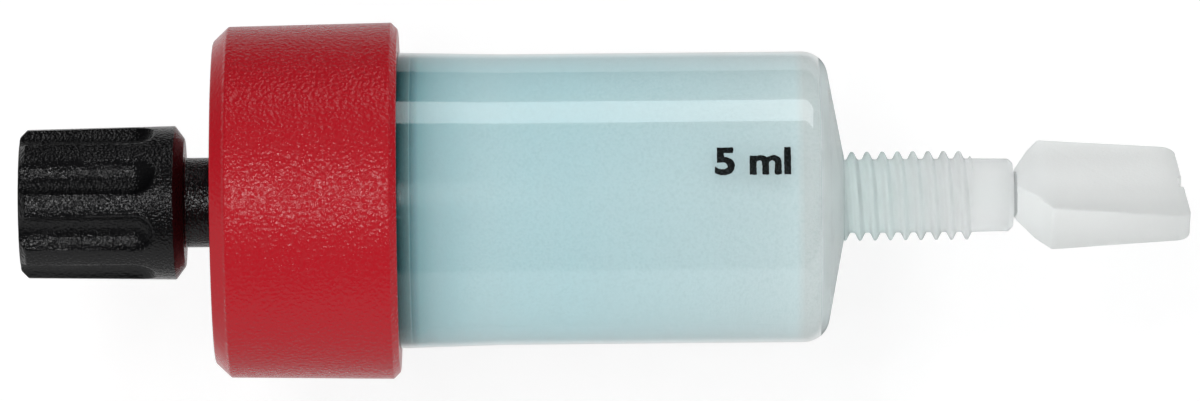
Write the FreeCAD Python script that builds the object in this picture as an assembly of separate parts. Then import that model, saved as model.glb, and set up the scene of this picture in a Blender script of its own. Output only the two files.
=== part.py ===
import FreeCAD, Part

import math
import os

# Prepacked laboratory column: a clear barrel closed by a fixed lid at one end,
# with a threaded outlet nose and a snap-off tab at the other.
# Millimetres. +Z runs along the axis, from the free end of the stop plug's head
# (z = 0) to the tip of the snap-off tab. -Y is the side that faces the viewer
# when the column lies on its side with the outlet to the right.

V = FreeCAD.Vector
ORIGIN = V(0, 0, 0)
X_AXIS = V(1, 0, 0)
Y_AXIS = V(0, 1, 0)
Z_AXIS = V(0, 0, 1)

# Stop plug: head
HEAD_LENGTH = 10.76
HEAD_RADIUS = 5.04
HEAD_TIP_BEVEL = 0.46
HEAD_BACK_BEVEL_RADIAL = 0.84
HEAD_BACK_BEVEL_AXIAL = 0.62
FLUTE_COUNT = 8
FLUTE_CUTTER_RADIUS = 1.60
FLUTE_DEPTH = 0.78
FLUTE_END_FROM_BACK = 2.06
FLUTE_RUNOUT = 1.37
LAND_AZIMUTH = 1.5

# Stop plug: shank, threaded length and tip
SHANK_RADIUS = 2.94
SHANK_IN_VIEW = 1.94
SHANK_IN_PORT = 0.55
PLUG_LEAD_BEVEL = 0.45
PLUG_TIP_RADIUS = 1.50

# M6 thread of the port, the plug and the outlet
THREAD_PITCH = 1.00
THREAD_CREST_RADIUS = 2.915
THREAD_CREST_WIDTH = 0.14
THREAD_ROOT_WIDTH = 0.28
THREAD_FLANK_ANGLE = 30.0

# Barrel
BORE_RADIUS = 8.00
BARREL_WALL = 1.55
BARREL_FLARE = 0.16
BARREL_FLARE_LENGTH = 4.60
BARREL_END_ROUNDING = 1.70
BARREL_END_FACETS = 3
BARREL_END_WALL = 0.46
END_CONE_HEIGHT = 1.30
END_CONE_STEP = 0.31
OUTLET_HOLE_RADIUS = 0.60
OUTLET_THREAD_LENGTH = 8.40
OUTLET_THREAD_PHASE = 0.04
OUTLET_THREAD_RUNOUT = 0.27
NOSE_LENGTH = 2.67
NOSE_BEVEL = 0.30

# Lid
LID_HEIGHT = 12.10
LID_TOP_WALL = 2.60
LID_RIM_WALL = 1.93
LID_BEVEL_RADIAL = 1.16
LID_BEVEL_AXIAL = 1.02
LID_RIM_BEVEL = 0.45
PORT_THREAD_LENGTH = 8.50
PORT_PLAIN_LENGTH = 2.65
PORT_MOUTH_PLAY = 0.26
PORT_MOUTH_BEVEL = 0.30
PORT_MOUTH_BELOW_SHANK = 0.35
PORT_FLOOR = 0.75
PORT_HOLE_RADIUS = 0.50

# Snap-off tab
NECK_RADIUS = 1.50
NECK_LENGTH = 0.12
NECK_HOLE_DEPTH = 0.45
TAB_BASE_HALF = 1.25
TAB_SHOULDER_LENGTH = 1.95
TAB_THICKENING_LENGTH = 1.10
TAB_BLADE_LENGTH = 9.15
TAB_WIDENING = 0.25
TAB_TIP_WIDTH = 9.95
TAB_SHOULDER_THICKNESS = 3.20
TAB_TIP_THICKNESS = 1.70
TAB_SHOULDER_ROUNDING = 0.35
TAB_TIP_ROUNDING = 0.90
TAB_TURN = 62.0
TAB_LEAN = 4.6
GATE_MARK_WIDTH = 1.20
GATE_MARK_DEPTH = 0.28

# Packed bed, frits and seals
BED_LENGTH = 25.60
FRIT_THICKNESS = 1.00
FRIT_CLEARANCE = 0.02
LID_SEAL_WIDTH = 1.20
LID_SEAL_FROM_END = 1.80
PLUG_SEAL_THICKNESS = 0.80

# Clearances
SEAT_CLEARANCE = 0.05
RUNNING_CLEARANCE = 0.07
PLUG_SEAL_CLEARANCE = 0.02

# Radii that follow from the sizes above
THREAD_TANGENT = math.tan(math.radians(THREAD_FLANK_ANGLE))
THREAD_DEPTH = (THREAD_PITCH - THREAD_CREST_WIDTH - THREAD_ROOT_WIDTH) / (2 * THREAD_TANGENT)
THREAD_ROOT_RADIUS = THREAD_CREST_RADIUS - THREAD_DEPTH
THREAD_EMBED = THREAD_ROOT_WIDTH / (4 * THREAD_TANGENT)
PORT_THREAD_RADIUS = THREAD_CREST_RADIUS + RUNNING_CLEARANCE
PORT_BORE_RADIUS = THREAD_ROOT_RADIUS + RUNNING_CLEARANCE
PORT_MOUTH_RADIUS = SHANK_RADIUS + PORT_MOUTH_PLAY
BARREL_RADIUS = BORE_RADIUS + BARREL_WALL
BARREL_RIM_RADIUS = BARREL_RADIUS + BARREL_FLARE
END_CONE_TIP_RADIUS = THREAD_ROOT_RADIUS + END_CONE_STEP
LID_SLOT_RADIUS = BARREL_RIM_RADIUS + SEAT_CLEARANCE
LID_RIM_RADIUS = LID_SLOT_RADIUS + LID_RIM_WALL
LID_FACE_RADIUS = LID_RIM_RADIUS - LID_BEVEL_RADIAL
LID_BOSS_RADIUS = BORE_RADIUS - SEAT_CLEARANCE
LID_GROOVE_RADIUS = BORE_RADIUS - LID_SEAL_WIDTH

# Places along the axis that follow from the sizes above
Z_FLUTE_END = HEAD_LENGTH - FLUTE_END_FROM_BACK
Z_LID_FACE = HEAD_LENGTH + SHANK_IN_VIEW
Z_LID_RIM = Z_LID_FACE + LID_HEIGHT
Z_BARREL_RIM = Z_LID_FACE + LID_TOP_WALL
Z_SHANK_END = Z_LID_FACE + SHANK_IN_PORT
Z_PORT_MOUTH_END = Z_SHANK_END + PORT_MOUTH_BELOW_SHANK
Z_PORT_THREAD_END = Z_LID_FACE + PORT_THREAD_LENGTH
Z_PORT_FLOOR = Z_PORT_THREAD_END + PORT_PLAIN_LENGTH
Z_PLUG_SEAL_TOP = Z_PORT_FLOOR - PLUG_SEAL_THICKNESS
Z_PLUG_TIP_STEP = Z_PLUG_SEAL_TOP - PLUG_SEAL_CLEARANCE
Z_BOSS_END = Z_PORT_FLOOR + PORT_FLOOR
Z_GROOVE_END = Z_BOSS_END - LID_SEAL_FROM_END
Z_GROOVE_TOP = Z_GROOVE_END - LID_SEAL_WIDTH
Z_BED_TOP = Z_BOSS_END + FRIT_THICKNESS
Z_BED_END = Z_BED_TOP + BED_LENGTH
Z_BORE_END = Z_BED_END + FRIT_THICKNESS
Z_CONE_BASE = Z_BORE_END + BARREL_END_WALL
Z_NOSE_ROOT = Z_CONE_BASE + END_CONE_HEIGHT
Z_OUTLET_THREAD_END = Z_NOSE_ROOT + OUTLET_THREAD_LENGTH
Z_NOSE_END = Z_OUTLET_THREAD_END + NOSE_LENGTH
Z_TAB_BASE = Z_NOSE_END + NECK_LENGTH


def rounded_wire(corners, place):
    """Closed wire through (a, b, rounding) corners, each rounded by a tangent arc."""
    points = [V(a, b, 0) for a, b, _ in corners]
    starts = []
    ends = []
    middles = []
    for index, (point, corner) in enumerate(zip(points, corners)):
        to_last = (points[index - 1] - point).normalize()
        to_next = (points[(index + 1) % len(points)] - point).normalize()
        half_angle = to_last.getAngle(to_next) / 2
        reach = corner[2] / math.tan(half_angle)
        starts.append(point + to_last * reach)
        ends.append(point + to_next * reach)
        inward = (to_last + to_next).normalize()
        centre_distance = corner[2] / math.sin(half_angle)
        middles.append(point + inward * (centre_distance - corner[2]))
    edges = []
    for index, corner in enumerate(corners):
        if corner[2] > 0:
            arc = Part.Arc(place(starts[index]), place(middles[index]), place(ends[index]))
            edges.append(arc.toShape())
        side_end = starts[(index + 1) % len(corners)]
        edges.append(Part.makeLine(place(ends[index]), place(side_end)))
    return Part.Wire(edges)


def upright(point):
    """A profile's (radius, height) point, placed in the XZ plane."""
    return V(point.x, 0, point.y)


def turned(corners):
    """Solid of revolution about Z of a profile given as (radius, z, rounding) corners."""
    face = Part.Face(rounded_wire(corners, upright))
    return face.revolve(ORIGIN, Z_AXIS, 360)


def cylinder(radius, z_from, z_to):
    """Cylinder on the axis between two heights."""
    return Part.makeCylinder(radius, z_to - z_from, V(0, 0, z_from), Z_AXIS)


def thread_ridge(z_from, z_to):
    """Right-hand helical ridge that stands on the thread's root cylinder."""
    crest_half = THREAD_CREST_WIDTH / 2
    inner = THREAD_ROOT_RADIUS - THREAD_EMBED
    inner_half = crest_half + (THREAD_CREST_RADIUS - inner) * THREAD_TANGENT
    corners = [
        V(inner, 0, -inner_half),
        V(THREAD_CREST_RADIUS, 0, -crest_half),
        V(THREAD_CREST_RADIUS, 0, crest_half),
        V(inner, 0, inner_half),
    ]
    profile = Part.makePolygon(corners + corners[:1])
    turns = []
    for turn in range(math.ceil((z_to - z_from) / THREAD_PITCH)):
        height = min(THREAD_PITCH, z_to - z_from - turn * THREAD_PITCH)
        helix = Part.makeHelix(THREAD_PITCH, height, THREAD_ROOT_RADIUS)
        helix.translate(V(0, 0, turn * THREAD_PITCH))
        turns += helix.Edges
    sweep = Part.BRepOffsetAPI.MakePipeShell(Part.Wire(turns))
    sweep.setFrenetMode(True)
    sweep.add(profile)
    sweep.build()
    sweep.makeSolid()
    ridge = sweep.shape()
    ridge.translate(V(0, 0, z_from))
    return ridge


def faded_ridge(z_from, z_to, runout):
    """Thread ridge whose upper end is turned down below the root within the runout."""
    slope = runout / THREAD_DEPTH
    widest = THREAD_CREST_RADIUS + THREAD_PITCH
    narrowest = THREAD_ROOT_RADIUS - THREAD_EMBED
    envelope = turned(
        [
            (0, z_from - THREAD_PITCH, 0),
            (widest, z_from - THREAD_PITCH, 0),
            (widest, z_to - (widest - narrowest) * slope, 0),
            (narrowest, z_to, 0),
            (narrowest, z_to + THREAD_PITCH, 0),
            (0, z_to + THREAD_PITCH, 0),
        ]
    )
    return thread_ridge(z_from, z_to - runout / 2).common(envelope)


def flutes():
    """Cutters with a pointed end that leave the grip flutes of the plug's head."""
    centre_radius = HEAD_RADIUS + FLUTE_CUTTER_RADIUS - FLUTE_DEPTH
    z_runout = Z_FLUTE_END - FLUTE_RUNOUT
    point_length = FLUTE_RUNOUT * FLUTE_CUTTER_RADIUS / FLUTE_DEPTH
    cutter = Part.makeCylinder(
        FLUTE_CUTTER_RADIUS, z_runout + HEAD_LENGTH, V(centre_radius, 0, -HEAD_LENGTH), Z_AXIS
    )
    point = Part.makeCone(
        FLUTE_CUTTER_RADIUS, 0, point_length, V(centre_radius, 0, z_runout), Z_AXIS
    )
    cutter = cutter.fuse(point)
    step = 360.0 / FLUTE_COUNT
    cutters = []
    for index in range(FLUTE_COUNT):
        copy = cutter.copy()
        copy.rotate(ORIGIN, Z_AXIS, LAND_AZIMUTH - 90 + step * (index + 0.5))
        cutters.append(copy)
    return cutters


def stop_plug():
    """Black plug: fluted head, shank, threaded length and a nose that ends in the seal's tip."""
    tip_end = Z_PORT_FLOOR - SEAT_CLEARANCE
    shank_step = abs(SHANK_RADIUS - THREAD_CREST_RADIUS)
    body = turned(
        [
            (0, 0, 0),
            (HEAD_RADIUS - HEAD_TIP_BEVEL, 0, 0),
            (HEAD_RADIUS, HEAD_TIP_BEVEL, 0),
            (HEAD_RADIUS, HEAD_LENGTH - HEAD_BACK_BEVEL_AXIAL, 0),
            (HEAD_RADIUS - HEAD_BACK_BEVEL_RADIAL, HEAD_LENGTH, 0),
            (SHANK_RADIUS, HEAD_LENGTH, 0),
            (SHANK_RADIUS, Z_SHANK_END, 0),
            (THREAD_CREST_RADIUS, Z_SHANK_END + shank_step, 0),
            (THREAD_CREST_RADIUS, Z_PORT_THREAD_END - PLUG_LEAD_BEVEL, 0),
            (THREAD_ROOT_RADIUS, Z_PORT_THREAD_END - SEAT_CLEARANCE, 0),
            (THREAD_ROOT_RADIUS, Z_PLUG_TIP_STEP, 0),
            (PLUG_TIP_RADIUS, Z_PLUG_TIP_STEP, 0),
            (PLUG_TIP_RADIUS, tip_end, 0),
            (0, tip_end, 0),
        ]
    )
    return body.cut(flutes()).removeSplitter()


def plug_seal_ring():
    """Soft ring on the plug's tip, pressed on the floor of the port."""
    inner = PLUG_TIP_RADIUS + RUNNING_CLEARANCE
    return turned(
        [
            (inner, Z_PLUG_SEAL_TOP, 0),
            (THREAD_ROOT_RADIUS, Z_PLUG_SEAL_TOP, 0),
            (THREAD_ROOT_RADIUS, Z_PORT_FLOOR, 0),
            (inner, Z_PORT_FLOOR, 0),
        ]
    )


def lid():
    """Red lid: bevelled skirt, inlet port at its thread's full width, boss in the barrel."""
    return turned(
        [
            (PORT_HOLE_RADIUS, Z_PORT_FLOOR, 0),
            (PORT_BORE_RADIUS, Z_PORT_FLOOR, 0),
            (PORT_BORE_RADIUS, Z_PORT_THREAD_END, 0),
            (PORT_THREAD_RADIUS, Z_PORT_THREAD_END, 0),
            (PORT_THREAD_RADIUS, Z_PORT_MOUTH_END, 0),
            (PORT_MOUTH_RADIUS, Z_PORT_MOUTH_END, 0),
            (PORT_MOUTH_RADIUS, Z_LID_FACE + PORT_MOUTH_BEVEL, 0),
            (PORT_MOUTH_RADIUS + PORT_MOUTH_BEVEL, Z_LID_FACE, 0),
            (LID_FACE_RADIUS, Z_LID_FACE, 0),
            (LID_RIM_RADIUS, Z_LID_FACE + LID_BEVEL_AXIAL, 0),
            (LID_RIM_RADIUS, Z_LID_RIM - LID_RIM_BEVEL, 0),
            (LID_RIM_RADIUS - LID_RIM_BEVEL, Z_LID_RIM, 0),
            (LID_SLOT_RADIUS, Z_LID_RIM, 0),
            (LID_SLOT_RADIUS, Z_BARREL_RIM, 0),
            (LID_BOSS_RADIUS, Z_BARREL_RIM, 0),
            (LID_BOSS_RADIUS, Z_GROOVE_TOP, 0),
            (LID_GROOVE_RADIUS, Z_GROOVE_TOP, 0),
            (LID_GROOVE_RADIUS, Z_GROOVE_END, 0),
            (LID_BOSS_RADIUS, Z_GROOVE_END, 0),
            (LID_BOSS_RADIUS, Z_BOSS_END, 0),
            (PORT_HOLE_RADIUS, Z_BOSS_END, 0),
        ]
    )


def lid_seal_ring():
    """Square-section ring in the groove of the lid's boss, against the barrel's bore."""
    return turned(
        [
            (LID_GROOVE_RADIUS, Z_GROOVE_TOP, 0),
            (BORE_RADIUS, Z_GROOVE_TOP, 0),
            (BORE_RADIUS, Z_GROOVE_END, 0),
            (LID_GROOVE_RADIUS, Z_GROOVE_END, 0),
        ]
    )


def rounded_end():
    """Corners of short cones that follow the rounding between the tube and its end cone."""
    slope = math.atan2(END_CONE_HEIGHT, BARREL_RADIUS - END_CONE_TIP_RADIUS)
    turn = math.pi / 2 - slope
    reach = BARREL_END_ROUNDING * math.tan(turn / 2)
    centre_radius = BARREL_RADIUS - BARREL_END_ROUNDING
    centre_height = Z_CONE_BASE - reach
    corners = []
    for index in range(BARREL_END_FACETS + 1):
        angle = turn * index / BARREL_END_FACETS
        radius = centre_radius + BARREL_END_ROUNDING * math.cos(angle)
        corners.append((radius, centre_height + BARREL_END_ROUNDING * math.sin(angle), 0))
    return corners


def barrel_shell():
    """Tube, end wall and outlet nose as one turned form, hollow along the axis."""
    outside = turned(
        [
            (0, Z_BARREL_RIM, 0),
            (BARREL_RIM_RADIUS, Z_BARREL_RIM, 0),
            (BARREL_RIM_RADIUS, Z_LID_RIM, 0),
            (BARREL_RADIUS, Z_LID_RIM + BARREL_FLARE_LENGTH, 0),
        ]
        + rounded_end()
        + [
            (END_CONE_TIP_RADIUS, Z_NOSE_ROOT, 0),
            (THREAD_ROOT_RADIUS, Z_NOSE_ROOT, 0),
            (THREAD_ROOT_RADIUS, Z_NOSE_END - NOSE_BEVEL, 0),
            (THREAD_ROOT_RADIUS - NOSE_BEVEL, Z_NOSE_END, 0),
            (0, Z_NOSE_END, 0),
        ]
    )
    inside = turned(
        [
            (0, Z_LID_FACE, 0),
            (BORE_RADIUS, Z_LID_FACE, 0),
            (BORE_RADIUS, Z_BORE_END, 0),
            (OUTLET_HOLE_RADIUS, Z_BORE_END, 0),
            (OUTLET_HOLE_RADIUS, Z_TAB_BASE + NECK_HOLE_DEPTH, 0),
            (0, Z_TAB_BASE + NECK_HOLE_DEPTH, 0),
        ]
    )
    return outside, inside


def snap_off_tab():
    """Wedge-shaped blade on a thin neck: a plan outline crossed with a side outline."""
    z_shoulder = TAB_SHOULDER_LENGTH
    z_tip = TAB_SHOULDER_LENGTH + TAB_BLADE_LENGTH
    half_tip = TAB_TIP_WIDTH / 2
    half_shoulder = half_tip - TAB_WIDENING / 2
    plan_corners = [
        (TAB_BASE_HALF, 0, 0),
        (half_shoulder, z_shoulder, TAB_SHOULDER_ROUNDING),
        (half_tip, z_tip, TAB_TIP_ROUNDING),
        (GATE_MARK_WIDTH / 2, z_tip, 0),
        (GATE_MARK_WIDTH / 2, z_tip - GATE_MARK_DEPTH, 0),
        (-GATE_MARK_WIDTH / 2, z_tip - GATE_MARK_DEPTH, 0),
        (-GATE_MARK_WIDTH / 2, z_tip, 0),
        (-half_tip, z_tip, TAB_TIP_ROUNDING),
        (-half_shoulder, z_shoulder, TAB_SHOULDER_ROUNDING),
        (-TAB_BASE_HALF, 0, 0),
    ]
    thick = TAB_SHOULDER_THICKNESS
    plan = Part.Face(rounded_wire(plan_corners, upright))
    plan.translate(V(0, -thick, 0))
    plan = plan.extrude(V(0, 2 * thick, 0))
    side_corners = [
        (TAB_BASE_HALF, 0, 0),
        (thick / 2, TAB_THICKENING_LENGTH, TAB_SHOULDER_ROUNDING),
        (TAB_TIP_THICKNESS / 2, z_tip, 0),
        (-TAB_TIP_THICKNESS / 2, z_tip, 0),
        (-thick / 2, TAB_THICKENING_LENGTH, TAB_SHOULDER_ROUNDING),
        (-TAB_BASE_HALF, 0, 0),
    ]
    side = Part.Face(rounded_wire(side_corners, lambda point: V(0, point.x, point.y)))
    side.translate(V(-TAB_TIP_WIDTH, 0, 0))
    side = side.extrude(V(2 * TAB_TIP_WIDTH, 0, 0))
    blade = plan.common(side)
    neck = cylinder(NECK_RADIUS, -2 * NECK_LENGTH, NECK_LENGTH)
    blade.rotate(ORIGIN, Z_AXIS, -TAB_TURN)
    blade.rotate(ORIGIN, X_AXIS, -TAB_LEAN)
    tab = blade.fuse(neck)
    tab.translate(V(0, 0, Z_TAB_BASE))
    return tab


def barrel():
    """Clear barrel with its outlet thread and the snap-off tab, one moulded piece."""
    outside, inside = barrel_shell()
    ridge_start = Z_NOSE_ROOT + OUTLET_THREAD_PHASE - THREAD_PITCH
    ridge = faded_ridge(ridge_start, Z_OUTLET_THREAD_END, OUTLET_THREAD_RUNOUT)
    body = outside.fuse(ridge)
    body = body.fuse(snap_off_tab())
    return body.cut(inside).removeSplitter()


def disc(z_from, z_to):
    """Disc that fills the bore between two heights."""
    return cylinder(BORE_RADIUS - FRIT_CLEARANCE, z_from, z_to)


def main():
    pieces = {
        "stop_plug": stop_plug(),
        "plug_seal_ring": plug_seal_ring(),
        "lid": lid(),
        "lid_seal_ring": lid_seal_ring(),
        "top_frit": disc(Z_BOSS_END, Z_BED_TOP),
        "packed_bed": disc(Z_BED_TOP, Z_BED_END),
        "bottom_frit": disc(Z_BED_END, Z_BORE_END),
        "barrel": barrel(),
    }
    os.makedirs("parts", exist_ok=True)
    for name, shape in pieces.items():
        print(name, shape.ShapeType, len(shape.Solids), shape.isValid(), round(shape.Volume, 3))
        shape.exportStep("parts/" + name + ".step")


main()
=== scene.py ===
"""The looks of a prepacked laboratory column, lying level as it does for its photograph.

A clear barrel holds a light blue bed. A red lid closes it at the left, with a fluted black
stop plug screwed in, and a threaded outlet nose with a snap-off tab stands at the right.
+Z runs along the axis from the plug to the tab, -Y faces the camera and -X is up in its view.
Every length in the classes below is in millimetres, and the meshes are made in metres.
"""

import logging
import math
from dataclasses import dataclass, fields
from enum import Enum
from typing import Callable, Optional, Sequence, Union

import bmesh
import bpy
from bpy.types import ID, Material, Mesh, Node, NodeSocket, NodeTree, Object
from mathutils import Matrix, Vector, noise

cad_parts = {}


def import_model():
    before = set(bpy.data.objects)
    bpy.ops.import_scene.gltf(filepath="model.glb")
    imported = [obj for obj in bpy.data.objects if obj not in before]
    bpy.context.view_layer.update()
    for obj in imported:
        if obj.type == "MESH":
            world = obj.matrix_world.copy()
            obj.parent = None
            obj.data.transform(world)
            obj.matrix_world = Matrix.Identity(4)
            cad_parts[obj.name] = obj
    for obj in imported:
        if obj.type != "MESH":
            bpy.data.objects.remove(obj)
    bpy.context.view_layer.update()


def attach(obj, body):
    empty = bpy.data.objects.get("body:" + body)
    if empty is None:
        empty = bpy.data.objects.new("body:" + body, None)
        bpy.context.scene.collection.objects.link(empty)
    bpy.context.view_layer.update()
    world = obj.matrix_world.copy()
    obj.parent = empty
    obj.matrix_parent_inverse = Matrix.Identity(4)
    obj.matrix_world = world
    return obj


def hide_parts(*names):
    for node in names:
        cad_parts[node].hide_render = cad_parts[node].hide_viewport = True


LOG = logging.getLogger("column")
MM = 0.001
UNLIMITED = 99.0

Corner = tuple[float, float, float]
Point = tuple[float, float]
Colour = tuple[float, float, float, float]
Value = Union[NodeSocket, float, int]
Feeds = dict[Union[str, int], object]
Sockets = bpy.types.bpy_prop_collection
Inputs = dict[str, tuple[str, object]]


class Body(Enum):
    """The moving bodies of the column."""

    COLUMN = "column"
    PLUG_SEAL = "plug_seal"
    PLUG = "plug"


class Slot(Enum):
    """The record's material slots."""

    BLACK = "black_plastic"
    RED = "red_plastic"
    CLEAR = "clear_plastic"
    GEL = "gel"
    FRIT = "frit"
    SEAL = "seal"


# Shader wiring


def grey(level: float) -> Colour:
    """A neutral colour."""
    return (level, level, level, 1.0)


class Wiring:
    """Short ways to add and join nodes in one tree."""

    def __init__(self, tree: NodeTree) -> None:
        """Keep the tree that the nodes go into."""
        self.tree = tree

    def node(self, kind: str, feeds: Optional[Feeds] = None, **settings: object) -> Node:
        """Add a node of one kind, set its own properties and feed its inputs.

        Args:
            kind: the node's type name.
            feeds: what each input gets, by its name or number.
            settings: the node's properties by name.

        Returns:
            The new node.
        """
        made = self.tree.nodes.new(kind)
        for name, value in settings.items():
            setattr(made, name, value)
        for key, value in (feeds or {}).items():
            self.feed(made.inputs[key], value)
        return made

    def feed(self, socket: NodeSocket, value: object) -> None:
        """Link a socket to an input, or set the input's own value."""
        if isinstance(value, NodeSocket):
            self.tree.links.new(value, socket)
        else:
            socket.default_value = value

    def maths(self, operation: str, a: Value, b: Value = 0.0, c: Value = 0.0) -> NodeSocket:
        """The result of a Math node on up to three values."""
        return self.node("ShaderNodeMath", {0: a, 1: b, 2: c}, operation=operation).outputs[0]

    def times(self, a: Value, b: Value) -> NodeSocket:
        """Two values multiplied."""
        return self.maths("MULTIPLY", a, b)

    def spread(
        self, value: Value, low: Value, high: Value, start: float = 0.0, end: float = 1.0, eased: bool = True
    ) -> NodeSocket:
        """Map a value from one range to another, held at both ends.

        Args:
            value: the value or socket to map.
            low: start of the range that is read.
            high: end of the range that is read.
            start: result at low.
            end: result at high.
            eased: True for a smooth step, False for a straight ramp.

        Returns:
            The mapped value.
        """
        feeds = dict(enumerate((value, low, high, start, end)))
        kind = "SMOOTHSTEP" if eased else "LINEAR"
        return self.node("ShaderNodeMapRange", feeds, interpolation_type=kind).outputs[0]

    def blend(self, mask: Value, a: object, b: object) -> NodeSocket:
        """Two colours mixed, with the second one where the mask is 1."""
        return self.node("ShaderNodeMix", {"Factor": mask, "A": a, "B": b}, data_type="RGBA").outputs["Result"]

    def place(self) -> NodeSocket:
        """Object coordinates in millimetres."""
        coordinates = self.node("ShaderNodeTexCoord").outputs["Object"]
        return self.node("ShaderNodeVectorMath", {0: coordinates, "Scale": 1.0 / MM}, operation="SCALE").outputs[0]

    def axis(self, place: NodeSocket, name: str) -> NodeSocket:
        """The X, Y or Z of a place."""
        return self.node("ShaderNodeSeparateXYZ", {0: place}).outputs[name]

    def clouds(self, place: NodeSocket, scale: Value, detail: float = 2.0) -> Sockets:
        """The outputs of a noise texture, with its clouds in each unit of length and its finer layers."""
        return self.node("ShaderNodeTexNoise", {"Vector": place, "Scale": scale, "Detail": detail}).outputs

    def effect(self, group: NodeTree, **values: object) -> Sockets:
        """The outputs of a shared effect, given its inputs by name with underscores for spaces."""
        feeds = {name.replace("_", " "): value for name, value in values.items()}
        return self.node("ShaderNodeGroup", feeds, node_tree=group).outputs


def effect_tree(name: str, inputs: dict[str, float], outputs: Sequence[str]) -> tuple[Wiring, Sockets, Sockets]:
    """Start a shader node group with a Place and further named sockets.

    Args:
        name: the group's name.
        inputs: default of each further input, by its name.
        outputs: names of the value outputs.

    Returns:
        The wiring of the new group, what the group is given and what it gives.
    """
    tree = bpy.data.node_groups.new(name, "ShaderNodeTree")
    tree.interface.new_socket(name="Place", in_out="INPUT", socket_type="NodeSocketVector")
    for label, default in inputs.items():
        socket = tree.interface.new_socket(name=label, in_out="INPUT", socket_type="NodeSocketFloat")
        socket.default_value = default
    for label in outputs:
        tree.interface.new_socket(name=label, in_out="OUTPUT", socket_type="NodeSocketFloat")
    wires = Wiring(tree)
    return wires, wires.node("NodeGroupInput").outputs, wires.node("NodeGroupOutput").inputs


def pebble_grain() -> NodeTree:
    """Moulded leather grain: rounded cells of uneven size, broken by a finer noise.

    Returns:
        The node group, with Height and Hollow outputs.
    """
    wires, given, gives = effect_tree("pebble_grain", {"Cells per mm": 4.0, "Fine share": 0.35}, ["Height", "Hollow"])
    place, scale = given["Place"], given["Cells per mm"]
    warp = {0: wires.clouds(place, scale)["Color"], 1: (0.22, 0.22, 0.22), 2: place}
    warped = wires.node("ShaderNodeVectorMath", warp, operation="MULTIPLY_ADD").outputs[0]
    feeds = {"Vector": warped, "Scale": scale, "Smoothness": 0.6}
    away = wires.node("ShaderNodeTexVoronoi", feeds, feature="SMOOTH_F1").outputs["Distance"]
    fine = wires.clouds(place, wires.times(scale, 1.9), 1.0)["Fac"]
    dome = wires.maths("SUBTRACT", 1.0, away)
    wires.feed(gives["Height"], wires.maths("MULTIPLY_ADD", fine, given["Fine share"], dome))
    wires.feed(gives["Hollow"], wires.spread(away, 0.35, 0.75))
    return wires.tree


def handling_marks() -> NodeTree:
    """Faint smudges in broad patches and short scuffs along the axis.

    Returns:
        The node group, with Smudge and Scuff outputs.
    """
    wires, given, gives = effect_tree("handling_marks", {"Patch size": 6.0, "Scuff size": 0.5}, ["Smudge", "Scuff"])
    patch = wires.clouds(given["Place"], wires.maths("DIVIDE", 1.0, given["Patch size"]), 4.0)["Fac"]
    wires.feed(gives["Smudge"], wires.spread(patch, 0.50, 0.72))
    stretched = wires.node("ShaderNodeMapping", {"Vector": given["Place"], "Scale": (2.2, 2.2, 0.45)}).outputs[0]
    scratch = wires.clouds(stretched, wires.maths("DIVIDE", 1.0, given["Scuff size"]))["Fac"]
    wires.feed(gives["Scuff"], wires.times(wires.spread(scratch, 0.66, 0.74), wires.spread(patch, 0.44, 0.60)))
    return wires.tree


def stray_specks() -> NodeTree:
    """Small specks of dust, thinly scattered.

    Returns:
        The node group, with a Speck output.
    """
    wires, given, gives = effect_tree("stray_specks", {"Spacing": 2.0, "Speck size": 0.05, "Share": 0.2}, ["Speck"])
    feeds = {"Vector": given["Place"], "Scale": wires.maths("DIVIDE", 1.0, given["Spacing"])}
    cells = wires.node("ShaderNodeTexVoronoi", feeds, feature="F1").outputs
    near = wires.maths("LESS_THAN", wires.times(cells["Distance"], given["Spacing"]), given["Speck size"])
    pick = wires.node("ShaderNodeSeparateColor", {0: cells["Color"]}).outputs[0]
    wires.feed(gives["Speck"], wires.times(near, wires.maths("LESS_THAN", pick, given["Share"])))
    return wires.tree


class Skin(Wiring):
    """The wiring of one new material, with its Principled surface."""

    def __init__(self, name: str, **sockets: Union[float, Colour]) -> None:
        """Make the material and set its plain sockets, by name with underscores for spaces."""
        self.material = bpy.data.materials.new(name)
        self.material.use_nodes = True
        super().__init__(self.material.node_tree)
        self.surface = self.tree.nodes["Principled BSDF"]
        for label, value in sockets.items():
            self.surface.inputs[label.replace("_", " ")].default_value = value

    def lay(self, colour: NodeSocket, height: NodeSocket, depth: float) -> None:
        """Feed the surface its colour and a fine relief.

        Args:
            colour: the colour's socket.
            height: the height map's socket.
            depth: height of the relief.
        """
        self.feed(self.surface.inputs["Base Color"], colour)
        bump = self.node("ShaderNodeBump", {"Strength": 1.0, "Distance": depth * MM, "Height": height})
        self.feed(self.surface.inputs["Normal"], bump.outputs["Normal"])

    def roughen(self, mask: NodeSocket, more: float, plain: float) -> None:
        """Add some roughness to the plain one where a mask says so."""
        self.feed(self.surface.inputs["Roughness"], self.maths("MULTIPLY_ADD", mask, more, plain))


class Effects:
    """The shared shader effects, each built once."""

    def __init__(self) -> None:
        """Build every effect's node group."""
        self.grain = pebble_grain()
        self.marks = handling_marks()
        self.specks = stray_specks()


@dataclass(frozen=True)
class Finish:
    """What every finish shares: a name and a plain surface."""

    name: str
    roughness: float = 0.5
    specular: float = 0.5
    ior: float = 1.5
    transmission: float = 0.0
    coat: float = 0.0

    def material(self, effects: Effects) -> Material:
        """Make the material.

        Args:
            effects: the shared effects.

        Returns:
            The finished material.
        """
        wires = Skin(
            self.name,
            Roughness=self.roughness,
            Specular_IOR_Level=self.specular,
            IOR=self.ior,
            Transmission_Weight=self.transmission,
            Coat_Weight=self.coat,
        )
        self.dress(wires, effects)
        return wires.material

    def dress(self, wires: Skin, effects: Effects) -> None:
        """Wire the colour, roughness and relief of this finish."""
        raise NotImplementedError


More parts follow.
